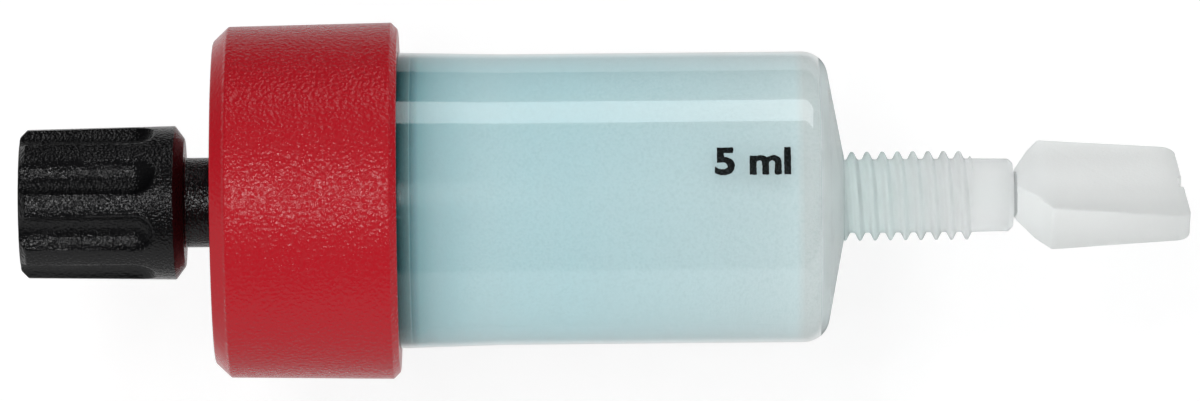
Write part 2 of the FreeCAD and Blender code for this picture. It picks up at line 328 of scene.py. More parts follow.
@dataclass(frozen=True)
class GrainedPlastic(Finish):
    """Opaque moulded plastic with a pebbled grain, paler where the grain's tops are rubbed."""

    colour: Colour = grey(0.5)
    rubbed: Colour = grey(0.6)
    cells_per_mm: float = 4.0
    grain_depth: float = 0.02
    smooth_to: float = 0.0
    dust_share: float = 0.15

    def dress(self, wires: Skin, effects: Effects) -> None:
        """Wire the grain, the rubbed tops and a little dust."""
        place = wires.place()
        grain = wires.effect(effects.grain, Place=place, Cells_per_mm=self.cells_per_mm)
        marks = wires.effect(effects.marks, Place=place, Patch_size=5.0, Scuff_size=0.4)
        specks = wires.effect(effects.specks, Place=place, Spacing=1.6, Speck_size=0.035, Share=self.dust_share)
        tops = wires.spread(grain["Height"], 0.75, 1.15)
        worn = wires.times(tops, wires.spread(marks["Smudge"], 0.0, 1.0, 0.55, 1.0))
        colour = wires.blend(worn, self.colour, self.rubbed)
        dusty = wires.blend(wires.times(specks["Speck"], 0.5), colour, (0.55, 0.53, 0.5, 1.0))
        grained = wires.spread(wires.axis(place, "Z"), self.smooth_to - 0.25, self.smooth_to, 0.25, 1.0)
        wires.lay(dusty, wires.times(grain["Height"], grained), self.grain_depth)
        wires.roughen(grain["Hollow"], 0.08, self.roughness)


@dataclass(frozen=True)
class ClearWall(Finish):
    """The barrel's wall: glossy, slightly milky plastic, with painted shade close to the lid."""

    colour: Colour = (0.96, 0.975, 0.97, 1.0)
    # This dark teal is painted shade: the wall is darkened from 24.8 to 26.2 mm, where the lid shades the barrel.
    shaded: Colour = (0.05, 0.24, 0.26, 1.0)
    painted_shade_from: float = 24.8
    painted_shade_to: float = 26.2
    seam: float = 25.6

    def dress(self, wires: Skin, effects: Effects) -> None:
        """Wire the milky colour, the painted shade at the lid and the handling marks."""
        place = wires.place()
        along = wires.axis(place, "Z")
        marks = wires.effect(effects.marks, Place=place, Patch_size=7.0, Scuff_size=0.7)
        specks = wires.effect(effects.specks, Place=place, Spacing=3.0, Speck_size=0.05, Share=0.12)
        # Painted shade: the wall's colour darkens towards the lid.
        painted_lid_shade = wires.spread(along, self.painted_shade_from, self.painted_shade_to, 1.0, 0.0, eased=False)
        colour = wires.blend(painted_lid_shade, self.colour, self.shaded)
        scuffed = wires.blend(wires.times(marks["Scuff"], 0.25), colour, (0.85, 0.9, 0.9, 1.0))
        off_seam = wires.maths("ABSOLUTE", wires.maths("SUBTRACT", along, self.seam))
        seamed = wires.blend(wires.spread(off_seam, 0.01, 0.05, 0.5, 0.0), scuffed, (0.8, 0.95, 0.95, 1.0))
        dusty = wires.blend(wires.times(specks["Speck"], 0.6), seamed, (0.2, 0.24, 0.24, 1.0))
        wires.lay(dusty, wires.clouds(place, 0.35)["Fac"], 0.01)
        wires.roughen(marks["Smudge"], 0.06, self.roughness)


@dataclass(frozen=True)
class FrostedPlastic(Finish):
    """The outlet nose and the tab: the same plastic in thick sections, frosted and milky."""

    colour: Colour = (0.80, 0.82, 0.82, 1.0)
    tinted: Colour = (0.785, 0.885, 0.875, 1.0)
    # Painted light: the barrel's end wall round the nose's root is lightened to near white.
    painted_light_end_wall: Colour = (0.98, 1.0, 0.995, 1.0)
    tab: Colour = (0.775, 0.79, 0.785, 1.0)
    # Painted shade: the tab's lower side face, past its ridge, is darker than its upper face.
    shaded_under_side: Colour = (0.725, 0.74, 0.735, 1.0)
    tint_from: float = 54.0
    tint_to: float = 62.0
    tab_from: float = 66.5
    tab_ridge: float = 0.5

    def dress(self, wires: Skin, effects: Effects) -> None:
        """Wire the milky colour, its tones along the nose and tab, the painted light on the end wall, the painted shade
        on the tab's lower side, and the frosting.
        """
        place = wires.place()
        along = wires.axis(place, "Z")
        grain = wires.effect(effects.grain, Place=place, Cells_per_mm=5.0, Fine_share=0.8)
        marks = wires.effect(effects.marks, Place=place, Patch_size=2.2, Scuff_size=0.3)
        specks = wires.effect(effects.specks, Place=place, Spacing=1.8, Speck_size=0.045, Share=0.12)
        near_barrel = wires.spread(along, self.tint_from, self.tint_to, 1.0, 0.0)
        nose = wires.blend(near_barrel, self.colour, self.tinted)
        # Painted light: near white on the end wall under the nose's root.
        painted_light_mask = wires.spread(along, self.tint_from - 0.35, self.tint_from + 0.1, 1.0, 0.0)
        walled = wires.blend(painted_light_mask, nose, self.painted_light_end_wall)
        on_tab = wires.spread(along, self.tab_from, self.tab_from + 1.5)
        # Painted shade on the tab's lower side face, past the ridge.
        below = wires.spread(wires.axis(place, "X"), self.tab_ridge - 0.4, self.tab_ridge + 0.4)
        colour = wires.blend(on_tab, walled, wires.blend(below, self.tab, self.shaded_under_side))
        cloudy = wires.blend(wires.times(marks["Smudge"], 0.12), colour, grey(0.93))
        dusty = wires.blend(wires.times(specks["Speck"], 0.55), cloudy, (0.25, 0.26, 0.26, 1.0))
        wires.lay(dusty, grain["Height"], 0.006)
        wires.roughen(marks["Smudge"], 0.12, self.roughness)


@dataclass(frozen=True)
class PackedGel(Finish):
    """The bed: moist fine beads, pale blue, with painted shade at its top under the lid."""

    colour: Colour = (0.52, 0.80, 0.86, 1.0)
    far: Colour = (0.65, 0.81, 0.84, 1.0)
    end: Colour = (0.65, 0.74, 0.75, 1.0)
    # This dark teal is painted shade, which falls off from the bed's top under the lid.
    shaded: Colour = (0.04, 0.39, 0.45, 1.0)
    painted_shade_from: float = 25.5
    painted_shade_to: float = 33.0
    far_from: float = 36.0
    far_to: float = 51.2
    end_from: float = 50.6

    def dress(self, wires: Skin, effects: Effects) -> None:
        """Wire the beads, the painted shade at the top and faint packing bands."""
        place = wires.place()
        along = wires.axis(place, "Z")
        beads = wires.effect(effects.grain, Place=place, Cells_per_mm=7.0, Fine_share=0.2)
        bands = wires.node("ShaderNodeTexNoise", {"W": along, "Scale": 0.25, "Detail": 3.0}, noise_dimensions="1D")
        # Painted shade: the bed darkens steeply towards the lid.
        painted_top_shade = wires.spread(along, self.painted_shade_from, self.painted_shade_to, 1.0, 0.0, eased=False)
        fading = wires.spread(along, self.far_from, self.far_to, eased=False)
        ending = wires.spread(along, self.end_from, self.far_to)
        body = wires.blend(ending, wires.blend(fading, self.colour, self.far), self.end)
        colour = wires.blend(wires.maths("POWER", painted_top_shade, 3.0), body, self.shaded)
        banded = wires.blend(wires.spread(bands.outputs["Fac"], 0.35, 0.75, 0.0, 0.12), colour, (0.60, 0.78, 0.82, 1.0))
        beaded = wires.blend(wires.times(beads["Hollow"], 0.15), banded, (0.25, 0.45, 0.5, 1.0))
        wires.lay(beaded, beads["Height"], 0.015)


@dataclass(frozen=True)
class PorousDisc(Finish):
    """The frits: white sintered plastic."""

    colour: Colour = (0.63, 0.70, 0.71, 1.0)
    pore: Colour = (0.57, 0.65, 0.66, 1.0)

    def dress(self, wires: Skin, effects: Effects) -> None:
        """Wire the sintered grains and the pores between them."""
        grain = wires.effect(effects.grain, Place=wires.place(), Cells_per_mm=9.0, Fine_share=0.3)
        wires.lay(wires.blend(grain["Hollow"], self.colour, self.pore), grain["Height"], 0.02)


@dataclass(frozen=True)
class SoftRubber(Finish):
    """The seals: matt black rubber with a faint bloom."""

    colour: Colour = grey(0.03)
    bloom: Colour = grey(0.08)

    def dress(self, wires: Skin, effects: Effects) -> None:
        """Wire the bloom and a fine skin."""
        place = wires.place()
        marks = wires.effect(effects.marks, Place=place, Patch_size=1.0, Scuff_size=0.2)
        grain = wires.effect(effects.grain, Place=place, Cells_per_mm=12.0)
        wires.lay(wires.blend(marks["Smudge"], self.colour, self.bloom), grain["Height"], 0.004)


@dataclass(frozen=True)
class PrintedInk(Finish):
    """The black print on the barrel, with small pinholes."""

    colour: Colour = (0.004, 0.005, 0.005, 1.0)
    thin: Colour = (0.03, 0.04, 0.043, 1.0)

    def dress(self, wires: Skin, effects: Effects) -> None:
        """Wire the pinholes."""
        grain = wires.effect(effects.grain, Place=wires.place(), Cells_per_mm=9.0)
        colour = wires.blend(wires.times(grain["Hollow"], 0.6), self.colour, self.thin)
        wires.lay(colour, grain["Height"], 0.003)


# Meshes


def placed(name: str, data: ID) -> Object:
    """Add an object to the scene."""
    made = bpy.data.objects.new(name, data)
    bpy.context.scene.collection.objects.link(made)
    return made


class Sketch:
    """Points and faces of one piece, gathered in millimetres."""

    def __init__(self) -> None:
        """Start with nothing."""
        self.points: list[Vector] = []
        self.faces: list[tuple[int, ...]] = []
        self.slots: list[int] = []

    def add_rows(
        self, rows: Sequence[Sequence[Vector]], closed: bool, slot_of: Optional[Callable[[int], int]] = None
    ) -> None:
        """Skin rows of points that each run once round the axis.

        Args:
            rows: the rows; one of a single point is a pole.
            closed: True if the last row joins the first.
            slot_of: the material slot of the faces that follow a row, where it isn't always the first.
        """
        starts = []
        for row in rows:
            starts.append(len(self.points))
            self.points.extend(row)
        for index in range(len(rows) if closed else len(rows) - 1):
            after = (index + 1) % len(rows)
            here, there = rows[index], rows[after]
            count = max(len(here), len(there))
            for column in range(count):
                beside = (column + 1) % count
                near = [starts[index] + spot % len(here) for spot in (column, beside)]
                far = [starts[after] + spot % len(there) for spot in (beside, column)]
                face = tuple(dict.fromkeys(near + far))
                if len(face) > 2:
                    self.faces.append(face)
                    self.slots.append(slot_of(index) if slot_of else 0)

    def add_mesh(self, mesh: Mesh, slot: int = 0) -> None:
        """Take over a mesh that is in millimetres.

        Args:
            mesh: the mesh.
            slot: the material slot of its faces.
        """
        start = len(self.points)
        self.points.extend(vertex.co.copy() for vertex in mesh.vertices)
        for face in mesh.polygons:
            self.faces.append(tuple(start + index for index in face.vertices))
            self.slots.append(slot)

    def piece(self, name: str, materials: Sequence[Material], sharp: float = 38.0) -> Object:
        """Make the object, with doubles merged and faces turned outwards.

        Args:
            name: the piece's name.
            materials: its materials by slot.
            sharp: angle in degrees past which an edge stays crisp.

        Returns:
            The new object, at the origin.
        """
        mesh = bpy.data.meshes.new(name)
        mesh.from_pydata([point * MM for point in self.points], [], self.faces)
        for material in materials:
            mesh.materials.append(material)
        mesh.polygons.foreach_set("material_index", self.slots)
        mesh.polygons.foreach_set("use_smooth", [True] * len(mesh.polygons))
        work = bmesh.new()
        work.from_mesh(mesh)
        bmesh.ops.remove_doubles(work, verts=work.verts, dist=1e-7)
        bmesh.ops.dissolve_degenerate(work, edges=work.edges, dist=1e-8)
        bmesh.ops.recalc_face_normals(work, faces=work.faces)
        work.to_mesh(mesh)
        work.free()
        mesh.set_sharp_from_angle(angle=math.radians(sharp))
        return placed(name, mesh)


def finished_mesh(name: str, data: ID, change: Optional[Callable[[Object], None]] = None) -> Mesh:
    """Evaluate a passing object and keep only its plain mesh.

    Args:
        name: the passing object's name.
        data: its mesh or text.
        change: adds its modifiers.

    Returns:
        The mesh.
    """
    carrier = placed(name, data)
    if change:
        change(carrier)
    graph = bpy.context.evaluated_depsgraph_get()
    made = bpy.data.meshes.new_from_object(carrier.evaluated_get(graph))
    bpy.data.objects.remove(carrier)
    return made


def rounded(corners: Sequence[Corner], closed: bool = False, steps: int = 6) -> list[Point]:
    """Points along a profile whose corners are rounded by arcs.

    Args:
        corners: (radius, height, rounding) of each corner.
        closed: True if the last corner joins the first.
        steps: pieces in each arc.

    Returns:
        The (radius, height) points, with one close to each end of an arc to hold its shading.
    """
    points: list[Point] = []
    count = len(corners)
    for index, (radius, height, rounding) in enumerate(corners):
        inner = closed or 0 < index < count - 1
        if rounding <= 0 or not inner:
            points.append((radius, height))
            continue
        here = Vector((radius, height))
        before = Vector(corners[index - 1][:2]) - here
        after = Vector(corners[(index + 1) % count][:2]) - here
        to_before, to_after = before.normalized(), after.normalized()
        half = to_before.angle(to_after) / 2
        reach = rounding / math.tan(half)
        hold = min(0.3 * rounding, 0.05)
        centre = here + (to_before + to_after).normalized() * (rounding / math.sin(half))
        first = here + to_before * reach - centre
        last = here + to_after * reach - centre
        if before.length > reach + hold:
            points.append(tuple(centre + first + to_before * hold))
        turn = first.angle_signed(last)
        for step in range(steps + 1):
            points.append(tuple(centre + Matrix.Rotation(-turn * step / steps, 2) @ first))
        if after.length > reach + hold:
            points.append(tuple(centre + last + to_after * hold))
    return points


def turned_rows(
    profile: Sequence[Point], angles: Sequence[float], shaped: Optional[Callable[[float, float, float], float]] = None
) -> list[list[Vector]]:
    """Turn a profile about the axis.

    Args:
        profile: its (radius, height) points.
        angles: the angles of the columns, in radians from +X.
        shaped: the radius at a plain radius, an angle and a height, where the piece isn't round.

    Returns:
        One row of points for each profile point, and a single point at a pole.
    """
    rows = []
    for radius, height in profile:
        if radius < 1e-6:
            rows.append([Vector((0.0, 0.0, height))])
            continue
        reaches = [shaped(radius, angle, height) if shaped else radius for angle in angles]
        rows.append([Vector((r * math.cos(a), r * math.sin(a), height)) for r, a in zip(reaches, angles)])
    return rows


def even_angles(count: int) -> list[float]:
    """Angles of evenly spaced columns, in radians."""
    return [2 * math.pi * index / count for index in range(count)]


def turned_piece(name: str, corners: Sequence[Corner], material: Material, closed: bool, columns: int) -> Object:
    """Make a plain turned piece.

    Args:
        name: the piece's name.
        corners: its profile.
        material: its material.
        closed: True if the profile is a ring that doesn't reach the axis.
        columns: how many columns it has.

    Returns:
        The new object.
    """
    sketch = Sketch()
    sketch.add_rows(turned_rows(rounded(corners, closed), even_angles(columns)), closed)
    return sketch.piece(name, [material])


def seat(piece: Object, body: Body, slot: Slot, *nodes: str) -> Object:
    """Let a piece ride on its body in place of the plain solids it stands for.

    Args:
        piece: the finished piece.
        body: the body it moves with.
        slot: the record's material slot; not used.
        nodes: the plain solids it stands for.

    Returns:
        The piece.
    """
    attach(piece, body.value)
    if nodes:
        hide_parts(*nodes)
    LOG.info("%s: %d faces on %s", piece.name, len(piece.data.polygons), body.value)
    return piece


@dataclass(frozen=True)
class HelicalRidge:
    """One screw thread, a ridge that follows a right-hand helix, made by Geometry Nodes."""

    name: str
    start: float
    turns: float
    base_radius: float
    rise: float
    pitch: float = 1.0
    crest_width: float = 0.14
    embed: float = 0.12
    embed_width: float = 0.86
    crest_rounding: float = 0.05
    lead_in: float = 0.25
    run_out: float = 0.35
    steps_per_turn: int = 72

    def inputs(self, material: Material) -> Inputs:
        """Type and value of each of the tree's inputs, by its name."""
        given: Inputs = {
            "Steps": ("NodeSocketInt", int(self.turns * self.steps_per_turn) + 1),
            "Material": ("NodeSocketMaterial", material),
        }
        for field in fields(self):
            if field.name not in ("name", "steps_per_turn"):
                given[field.name.replace("_", " ").title()] = ("NodeSocketFloat", getattr(self, field.name))
        return given

    def tree(self, inputs: Inputs) -> tuple[NodeTree, dict[str, str]]:
        """Build the node tree.

        Args:
            inputs: type and value of each input, by its name.

        Returns:
            The tree, and the identifier of each input by its name.
        """
        tree = bpy.data.node_groups.new("helical_ridge", "GeometryNodeTree")
        sockets: dict[str, str] = {}
        for name, (kind, _) in inputs.items():
            sockets[name] = tree.interface.new_socket(name=name, in_out="INPUT", socket_type=kind).identifier
        tree.interface.new_socket(name="Geometry", in_out="OUTPUT", socket_type="NodeSocketGeometry")
        wires = Wiring(tree)
        given = wires.node("NodeGroupInput").outputs

        line = wires.node("GeometryNodeCurvePrimitiveLine").outputs[0]
        spaced = wires.node("GeometryNodeResampleCurve", {"Curve": line, "Count": given["Steps"]}, mode="COUNT")
        share = wires.node("GeometryNodeSplineParameter").outputs["Factor"]
        turn = wires.times(share, given["Turns"])
        angle = wires.times(turn, 2 * math.pi)
        height = wires.maths("MULTIPLY_ADD", turn, given["Pitch"], given["Start"])
        left = wires.maths("SUBTRACT", given["Turns"], turn)
        grown = wires.times(wires.spread(turn, 0.0, given["Lead In"]), wires.spread(left, 0.0, given["Run Out"]))
        sunk = wires.times(wires.maths("SUBTRACT", 1.0, grown), given["Rise"])
        radius = wires.maths("SUBTRACT", given["Base Radius"], sunk)
        across = wires.times(radius, wires.maths("COSINE", angle))
        beside = wires.times(radius, wires.maths("SINE", angle))
        spot = wires.node("ShaderNodeCombineXYZ", {0: across, 1: beside, 2: height}).outputs[0]
        helix = wires.node("GeometryNodeSetPosition", {"Geometry": spaced.outputs[0], "Position": spot}).outputs[0]
        upright = wires.node("GeometryNodeSetCurveNormal", {"Curve": helix}, mode="Z_UP").outputs[0]

        outline = wires.node("GeometryNodeCurvePrimitiveQuadrilateral", mode="POINTS")
        back = wires.times(wires.times(wires.maths("SIGN", given["Rise"]), given["Embed"]), -1.0)
        corners = (
            (back, given["Embed Width"], -0.5),
            (given["Rise"], given["Crest Width"], -0.5),
            (given["Rise"], given["Crest Width"], 0.5),
            (back, given["Embed Width"], 0.5),
        )
        for number, (out, width, side) in enumerate(corners, start=1):
            corner = wires.node("ShaderNodeCombineXYZ", {0: out, 1: wires.times(width, side)}).outputs[0]
            wires.feed(outline.inputs["Point %d" % number], corner)
        fillet = {"Curve": outline.outputs[0], "Count": 3, "Radius": given["Crest Rounding"], "Limit Radius": True}
        eased = wires.node("GeometryNodeFilletCurve", fillet, mode="POLY").outputs[0]
        sweep = {"Curve": upright, "Profile Curve": eased, "Fill Caps": True}
        real = wires.node("GeometryNodeRealizeInstances", {0: wires.node("GeometryNodeCurveToMesh", sweep).outputs[0]})
        dress = {"Geometry": real.outputs[0], "Material": given["Material"]}
        wires.node("NodeGroupOutput", {0: wires.node("GeometryNodeSetMaterial", dress).outputs[0]})
        return tree, sockets

    def mesh(self, material: Material) -> Mesh:
        """Evaluate the tree once and keep its plain mesh.

        Args:
            material: the plastic of the thread.

        Returns:
            The ridge's mesh, in millimetres.
        """
        inputs = self.inputs(material)
        tree, sockets = self.tree(inputs)

        def wind(carrier: Object) -> None:
            """Put the tree on the passing object with this thread's sizes."""
            modifier = carrier.modifiers.new("ridge", "NODES")
            modifier.node_group = tree
            for name, (_, value) in inputs.items():
                modifier[sockets[name]] = value

        made = finished_mesh(self.name, bpy.data.meshes.new(self.name), wind)
        bpy.data.node_groups.remove(tree)
        return made


@dataclass(frozen=True)
class Places:
    """Heights along the axis that several sub-assemblies share."""

    head_back: float = 10.76
    lid_face: float = 12.70
    barrel_rim: float = 15.30
    shank_end: float = 13.25
    port_mouth_end: float = 13.60
    port_thread_end: float = 21.20
    plug_seal_top: float = 23.05
    port_floor: float = 23.85
    groove_top: float = 21.60
    groove_end: float = 22.80
    boss_end: float = 24.60
    lid_rim: float = 24.80
    bed_top: float = 25.60
    bed_end: float = 51.20
    bore_end: float = 52.20
    cone_base: float = 52.66
    nose_root: float = 53.96
    outlet_thread_end: float = 62.36
    nose_end: float = 65.03
    tab_base: float = 65.15


@dataclass(frozen=True)
class StopPlug:
    """The black plug: fluted head, shank, M6 thread and a tip for its seal."""

    places: Places
    head_radius: float = 5.04
    head_draft: float = 0.17
    tip_bevel: float = 0.46
    back_bevel_radial: float = 0.84
    back_bevel_axial: float = 0.62
    flutes: int = 8
    cutter_radius: float = 1.60
    flute_depth: float = 0.78
    flute_end_from_back: float = 1.90
    land_azimuth: float = 1.5
    edge_softness: float = 0.022
    fine_row: float = 0.09
    back_rows: float = 0.6
    plain_back: float = 0.7
    shank_radius: float = 2.94
    thread_root: float = 2.413
    thread_crest: float = 2.915
    tip_radius: float = 1.50
    shoulder: float = 0.45
    seal_play: float = 0.02
    floor_play: float = 0.05
    thread_lead: float = 0.75
    thread_stop: float = 0.60

    def flute_limit(self, angle: float, height: float) -> float:
        """Largest radius that the flutes leave.

        Args:
            angle: angle about the axis, in radians from +X.
            height: height above the head's end face.

        Returns:
            The radius, softened where a flute meets a land.
        """
        outside = self.cutter_radius - self.flute_depth
        centre = self.head_radius + outside
        ball = self.places.head_back - self.flute_end_from_back - math.sqrt(self.cutter_radius**2 - outside**2)
        step = 2 * math.pi / self.flutes
        turned = angle - math.radians(self.land_azimuth - 90) - step / 2
        turned = (turned + step / 2) % step - step / 2
        beyond = max(0.0, height - ball)
        if beyond >= self.cutter_radius:
            return UNLIMITED
        cutter = math.sqrt(self.cutter_radius**2 - beyond**2)
        aside = centre * math.sin(turned)
        if abs(aside) >= cutter:
            return UNLIMITED
        return centre * math.cos(turned) - math.sqrt(cutter**2 - aside**2)

    def soft_limit(self, angle: float, height: float) -> float:
        """The flutes' limit, eased over a small band so that the lands' edges are rounded."""
        share = height / self.places.head_back
        land = self.head_radius - self.head_draft * (1 - min(1.0, share))
        limit = self.flute_limit(angle, height)
        gap = abs(limit - land)
        if gap >= 4 * self.edge_softness:
            return limit
        ease = 4 * self.edge_softness - gap
        return min(limit, land) - ease**2 / (16 * self.edge_softness)

    def profile(self) -> list[Point]:
        """Profile of the plug from its end face to its tip, with close rows at the flutes' ends."""
        tip = self.head_radius - self.head_draft
        back = self.places.head_back
        head = rounded(
            [
                (0.0, 0.0, 0.0),
                (tip - self.tip_bevel, 0.0, 0.12),
                (tip, self.tip_bevel, 0.15),
                (self.head_radius, back - self.back_bevel_axial, 0.14),
                (self.head_radius - self.back_bevel_radial, back, 0.10),
                (self.shank_radius, back, 0.10),
                (self.shank_radius, self.places.shank_end, 0.0),
                (self.thread_root, self.places.shank_end + self.shoulder, 0.0),
                (self.thread_root, self.places.plug_seal_top - self.seal_play, 0.08),
                (self.tip_radius, self.places.plug_seal_top - self.seal_play, 0.0),
                (self.tip_radius, self.places.port_floor - self.floor_play, 0.10),
                (0.0, self.places.port_floor - self.floor_play, 0.0),
            ],
            steps=5,
        )
        filled: list[Point] = []
        for here, there in zip(head, head[1:]):
            filled.append(here)
            length = math.hypot(there[0] - here[0], there[1] - here[1])
            if min(here[0], there[0]) > self.shank_radius + self.back_rows and length > 0.2:
                count = int(length / self.fine_row)
                for share in (index / count for index in range(1, count)):
                    filled.append((here[0] + (there[0] - here[0]) * share, here[1] + (there[1] - here[1]) * share))
        filled.append(head[-1])
        return filled

    def build(self, material: Material) -> Object:
        """Make the plug.

        Args:
            material: its plastic.

        Returns:
            The finished piece.
        """
        sketch = Sketch()
        rows = turned_rows(self.profile(), even_angles(320), self.fluted)
        sketch.add_rows(rows, closed=False)
        thread = HelicalRidge(
            name="plug_thread",
            start=self.places.shank_end + self.thread_lead,
            turns=self.places.port_thread_end - self.places.shank_end - (self.thread_lead + self.thread_stop),
            base_radius=self.thread_root,
            rise=self.thread_crest - self.thread_root,
            lead_in=0.4,
            run_out=0.8,
        )
        sketch.add_mesh(thread.mesh(material))
        return seat(sketch.piece("plug", [material]), Body.PLUG, Slot.BLACK, "stop_plug")

    def fluted(self, radius: float, angle: float, height: float) -> float:
        """The plug's radius with the flutes cut from its head."""
        if height >= self.places.head_back - self.plain_back:
            return radius
        return min(radius, self.soft_limit(angle, height))


@dataclass(frozen=True)
class Lid:
    """The red lid: bevelled skirt, threaded inlet port and the boss that closes the barrel."""

    places: Places
    face_radius: float = 10.53
    bevel_axial: float = 1.02
    top_radius: float = 11.51
    rim_radius: float = 11.69
    rim_bevel: float = 0.45
    slot_radius: float = 9.76
    boss_radius: float = 7.95
    groove_radius: float = 6.80
    port_mouth_radius: float = 3.20
    port_mouth_bevel: float = 0.30
    port_thread_radius: float = 2.985
    port_bore_radius: float = 2.483
    hole_radius: float = 0.50
    thread_lead: float = 1.25
    thread_stop: float = 0.30

    def build(self, material: Material) -> Object:
        """Make the lid.

        Args:
            material: its plastic.

        Returns:
            The finished piece.
        """
        at = self.places
        corners = [
            (self.port_mouth_radius + self.port_mouth_bevel, at.lid_face, 0.05),
            (self.face_radius, at.lid_face, 0.30),
            (self.top_radius, at.lid_face + self.bevel_axial, 0.22),
            (self.rim_radius, at.lid_rim - self.rim_bevel, 0.12),
            (self.rim_radius - self.rim_bevel, at.lid_rim, 0.15),
            (self.slot_radius, at.lid_rim, 0.10),
            (self.slot_radius, at.barrel_rim, 0.0),
            (self.boss_radius, at.barrel_rim, 0.0),
            (self.boss_radius, at.groove_top, 0.0),
            (self.groove_radius, at.groove_top, 0.0),
            (self.groove_radius, at.groove_end, 0.0),
            (self.boss_radius, at.groove_end, 0.0),
            (self.boss_radius, at.boss_end, 0.15),
            (self.hole_radius, at.boss_end, 0.0),
            (self.hole_radius, at.port_floor, 0.0),
            (self.port_bore_radius, at.port_floor, 0.0),
            (self.port_bore_radius, at.port_thread_end, 0.0),
            (self.port_thread_radius, at.port_thread_end, 0.0),
            (self.port_thread_radius, at.port_mouth_end, 0.0),
            (self.port_mouth_radius, at.port_mouth_end, 0.0),
            (self.port_mouth_radius, at.lid_face + self.port_mouth_bevel, 0.05),
        ]
        sketch = Sketch()
        sketch.add_rows(turned_rows(rounded(corners, closed=True), even_angles(192)), closed=True)
        thread = HelicalRidge(
            name="port_thread",
            start=at.shank_end + self.thread_lead,
            turns=at.port_thread_end - at.shank_end - (self.thread_lead + self.thread_stop),
            base_radius=self.port_thread_radius,
            rise=self.port_bore_radius - self.port_thread_radius,
            lead_in=0.4,
            run_out=0.4,
        )
        sketch.add_mesh(thread.mesh(material))
        return seat(sketch.piece("cap", [material]), Body.COLUMN, Slot.RED, "lid")


@dataclass(frozen=True)
class SnapOffTab:
    """The wedge-shaped blade on a thin neck, turned and leaning as it was moulded."""

    places: Places
    base_half: float = 1.25
    shoulder_length: float = 1.95
    thickening_length: float = 1.10
    blade_length: float = 9.15
    widening: float = 0.25
    tip_width: float = 9.95
    shoulder_thickness: float = 3.20
    tip_thickness: float = 1.70
    shoulder_rounding: float = 0.35
    tip_rounding: float = 0.90
    turn: float = 62.0
    lean: float = 4.6
    gate_width: float = 1.20
    gate_depth: float = 0.28
    edge_rounding: float = 0.13

    def half_thickness(self, height: float) -> float:
        """Half the blade's thickness at a height above its base."""
        tip = self.shoulder_length + self.blade_length
        if height <= self.thickening_length:
            share = height / self.thickening_length
            return self.base_half + (self.shoulder_thickness / 2 - self.base_half) * share
        share = (height - self.thickening_length) / (tip - self.thickening_length)
        return (self.shoulder_thickness + (self.tip_thickness - self.shoulder_thickness) * share) / 2

    def outline(self) -> list[Point]:
        """Plan outline of the blade, from its base round the tip and back."""
        tip = self.shoulder_length + self.blade_length
        half_tip = self.tip_width / 2
        half_shoulder = half_tip - self.widening / 2
        notch = self.gate_width / 2
        corners = [
            (self.base_half, 0.0, 0.0),
            (half_shoulder, self.shoulder_length, self.shoulder_rounding),
            (half_tip, tip, self.tip_rounding),
            (notch, tip, 0.0),
            (notch, tip - self.gate_depth, 0.0),
            (-notch, tip - self.gate_depth, 0.0),
            (-notch, tip, 0.0),
            (-half_tip, tip, self.tip_rounding),
            (-half_shoulder, self.shoulder_length, self.shoulder_rounding),
            (-self.base_half, 0.0, 0.0),
        ]
        return rounded(corners, steps=7)

    def mesh(self) -> Mesh:
        """Make the blade and its neck.

        Returns:
            Their mesh, in millimetres.
        """
        outline = self.outline()
        crossed: list[Point] = []
        for here, there in zip(outline, outline[1:] + outline[:1]):
            crossed.append(here)
            if (here[1] - self.thickening_length) * (there[1] - self.thickening_length) < 0:
                share = (self.thickening_length - here[1]) / (there[1] - here[1])
                crossed.append((here[0] + (there[0] - here[0]) * share, self.thickening_length))
        work = bmesh.new()
        sides = []
        for sign in (-1, 1):
            sides.append([work.verts.new((across, sign * self.half_thickness(up), up)) for across, up in crossed])
        low = [index for index, (across, up) in enumerate(crossed) if up <= self.thickening_length + 1e-9]
        high = [index for index, (across, up) in enumerate(crossed) if up >= self.thickening_length - 1e-9]
        for side in sides:
            work.faces.new([side[index] for index in high])
            work.faces.new([side[index] for index in low])
        count = len(crossed)
        for index in range(count):
            after = (index + 1) % count
            work.faces.new((sides[0][index], sides[0][after], sides[1][after], sides[1][index]))
        bmesh.ops.recalc_face_normals(work, faces=work.faces)
        sharp = math.radians(25)
        crease = [edge for edge in work.edges if len(edge.link_faces) == 2 and edge.calc_face_angle() > sharp]
        bmesh.ops.bevel(
            work, geom=crease, offset=self.edge_rounding, segments=4, profile=0.5, affect="EDGES", clamp_overlap=True
        )
        work.transform(Matrix.Rotation(math.radians(-self.turn), 4, "Z"))
        work.transform(Matrix.Rotation(math.radians(-self.lean), 4, "X"))
        work.transform(Matrix.Translation((0.0, 0.0, self.places.tab_base)))
        made = bpy.data.meshes.new("tab")
        work.to_mesh(made)
        work.free()
        return made


